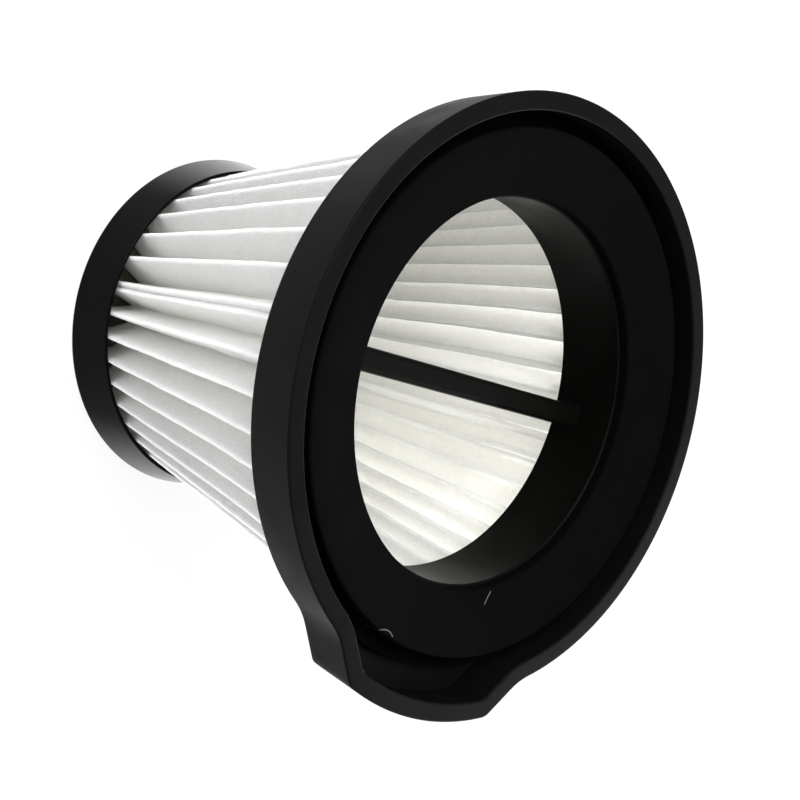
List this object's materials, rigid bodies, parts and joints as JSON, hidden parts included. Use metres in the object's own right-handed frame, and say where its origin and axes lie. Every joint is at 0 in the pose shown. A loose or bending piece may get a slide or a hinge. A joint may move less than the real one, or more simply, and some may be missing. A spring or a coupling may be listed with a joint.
{
  "type": "vacuum cleaner filter",
  "caption": "Conical pleated vacuum cleaner filter with a closed rear cap, a black soft seal ring with a pull tab, a dished face gasket and a grip bar across its round outlet.",
  "frame": {"origin": "centre of the rear cap's base", "axes": "+Z along the filter's axis from the rear cap to the outlet; -Y towards the pull tab"},
  "size_m": [0.1058, 0.1106, 0.0861],
  "materials": {
    "seal_rubber": "moulded black thermoplastic rubber, satin",
    "gasket_foam": "die-cut black closed-cell foam, matte",
    "frame_plastic": "moulded black plastic, glossy",
    "filter_paper": "folded white fibrous filter paper",
    "cap_plastic": "moulded black plastic, satin",
    "potting_glue": "set dark potting glue, dull"
  },
  "bodies": {
    "root": {"seal_ring": "seal_rubber", "face_gasket": "gasket_foam", "outlet_frame": "frame_plastic", "pleated_sheet": "filter_paper", "rear_cap": "cap_plastic", "front_potting": "potting_glue", "rear_potting": "potting_glue"}
  },
  "joints": []
}
